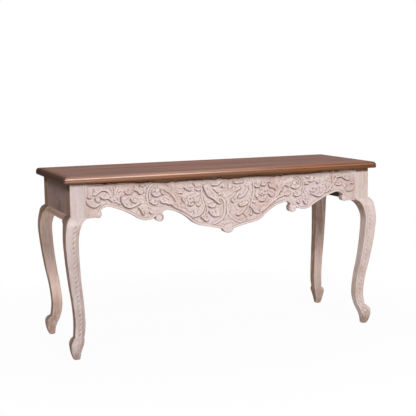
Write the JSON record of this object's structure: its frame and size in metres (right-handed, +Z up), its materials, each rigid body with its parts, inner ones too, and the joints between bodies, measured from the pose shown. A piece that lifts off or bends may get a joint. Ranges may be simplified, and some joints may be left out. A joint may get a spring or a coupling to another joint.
{
  "type": "hall table",
  "caption": "Long hall table with a planked moulded top, cabriole legs with scroll feet and a scalloped front apron carved with scrolling leaves.",
  "frame": {"origin": "on the floor under the middle of the table", "axes": "+X along the table to the right as seen from the carved front, +Y from the front to the back, +Z up"},
  "size_m": [1.5, 0.529, 0.78],
  "materials": {
    "washed_wood": "limewashed carved hardwood, matt, brown in the recesses",
    "top_wood": "brown stained hardwood planks, satin, orange-brown along the edge",
    "inner_wood": "bare sawn hardwood",
    "steel": "zinc plated screws",
    "glide": "dark moulded glide"
  },
  "bodies": {
    "root": {"leg_front_left": "washed_wood", "leg_front_right": "washed_wood", "leg_back_left": "washed_wood", "leg_back_right": "washed_wood", "front_apron": "washed_wood", "back_rail": "washed_wood", "end_rail_left": "washed_wood", "end_rail_right": "washed_wood", "end_flare_left": "washed_wood", "end_flare_right": "washed_wood", "top_board_1": "top_wood", "top_board_2": "top_wood", "top_board_3": "top_wood", "top_board_4": "top_wood", "corner_brace_front_left": "inner_wood", "corner_brace_front_right": "inner_wood", "corner_brace_back_left": "inner_wood", "corner_brace_back_right": "inner_wood", "batten_left": "inner_wood", "batten_right": "inner_wood", "top_screws": "steel", "brace_screws": "steel", "glide_front_left": "glide", "glide_front_right": "glide", "glide_back_left": "glide", "glide_back_right": "glide"}
  },
  "joints": []
}
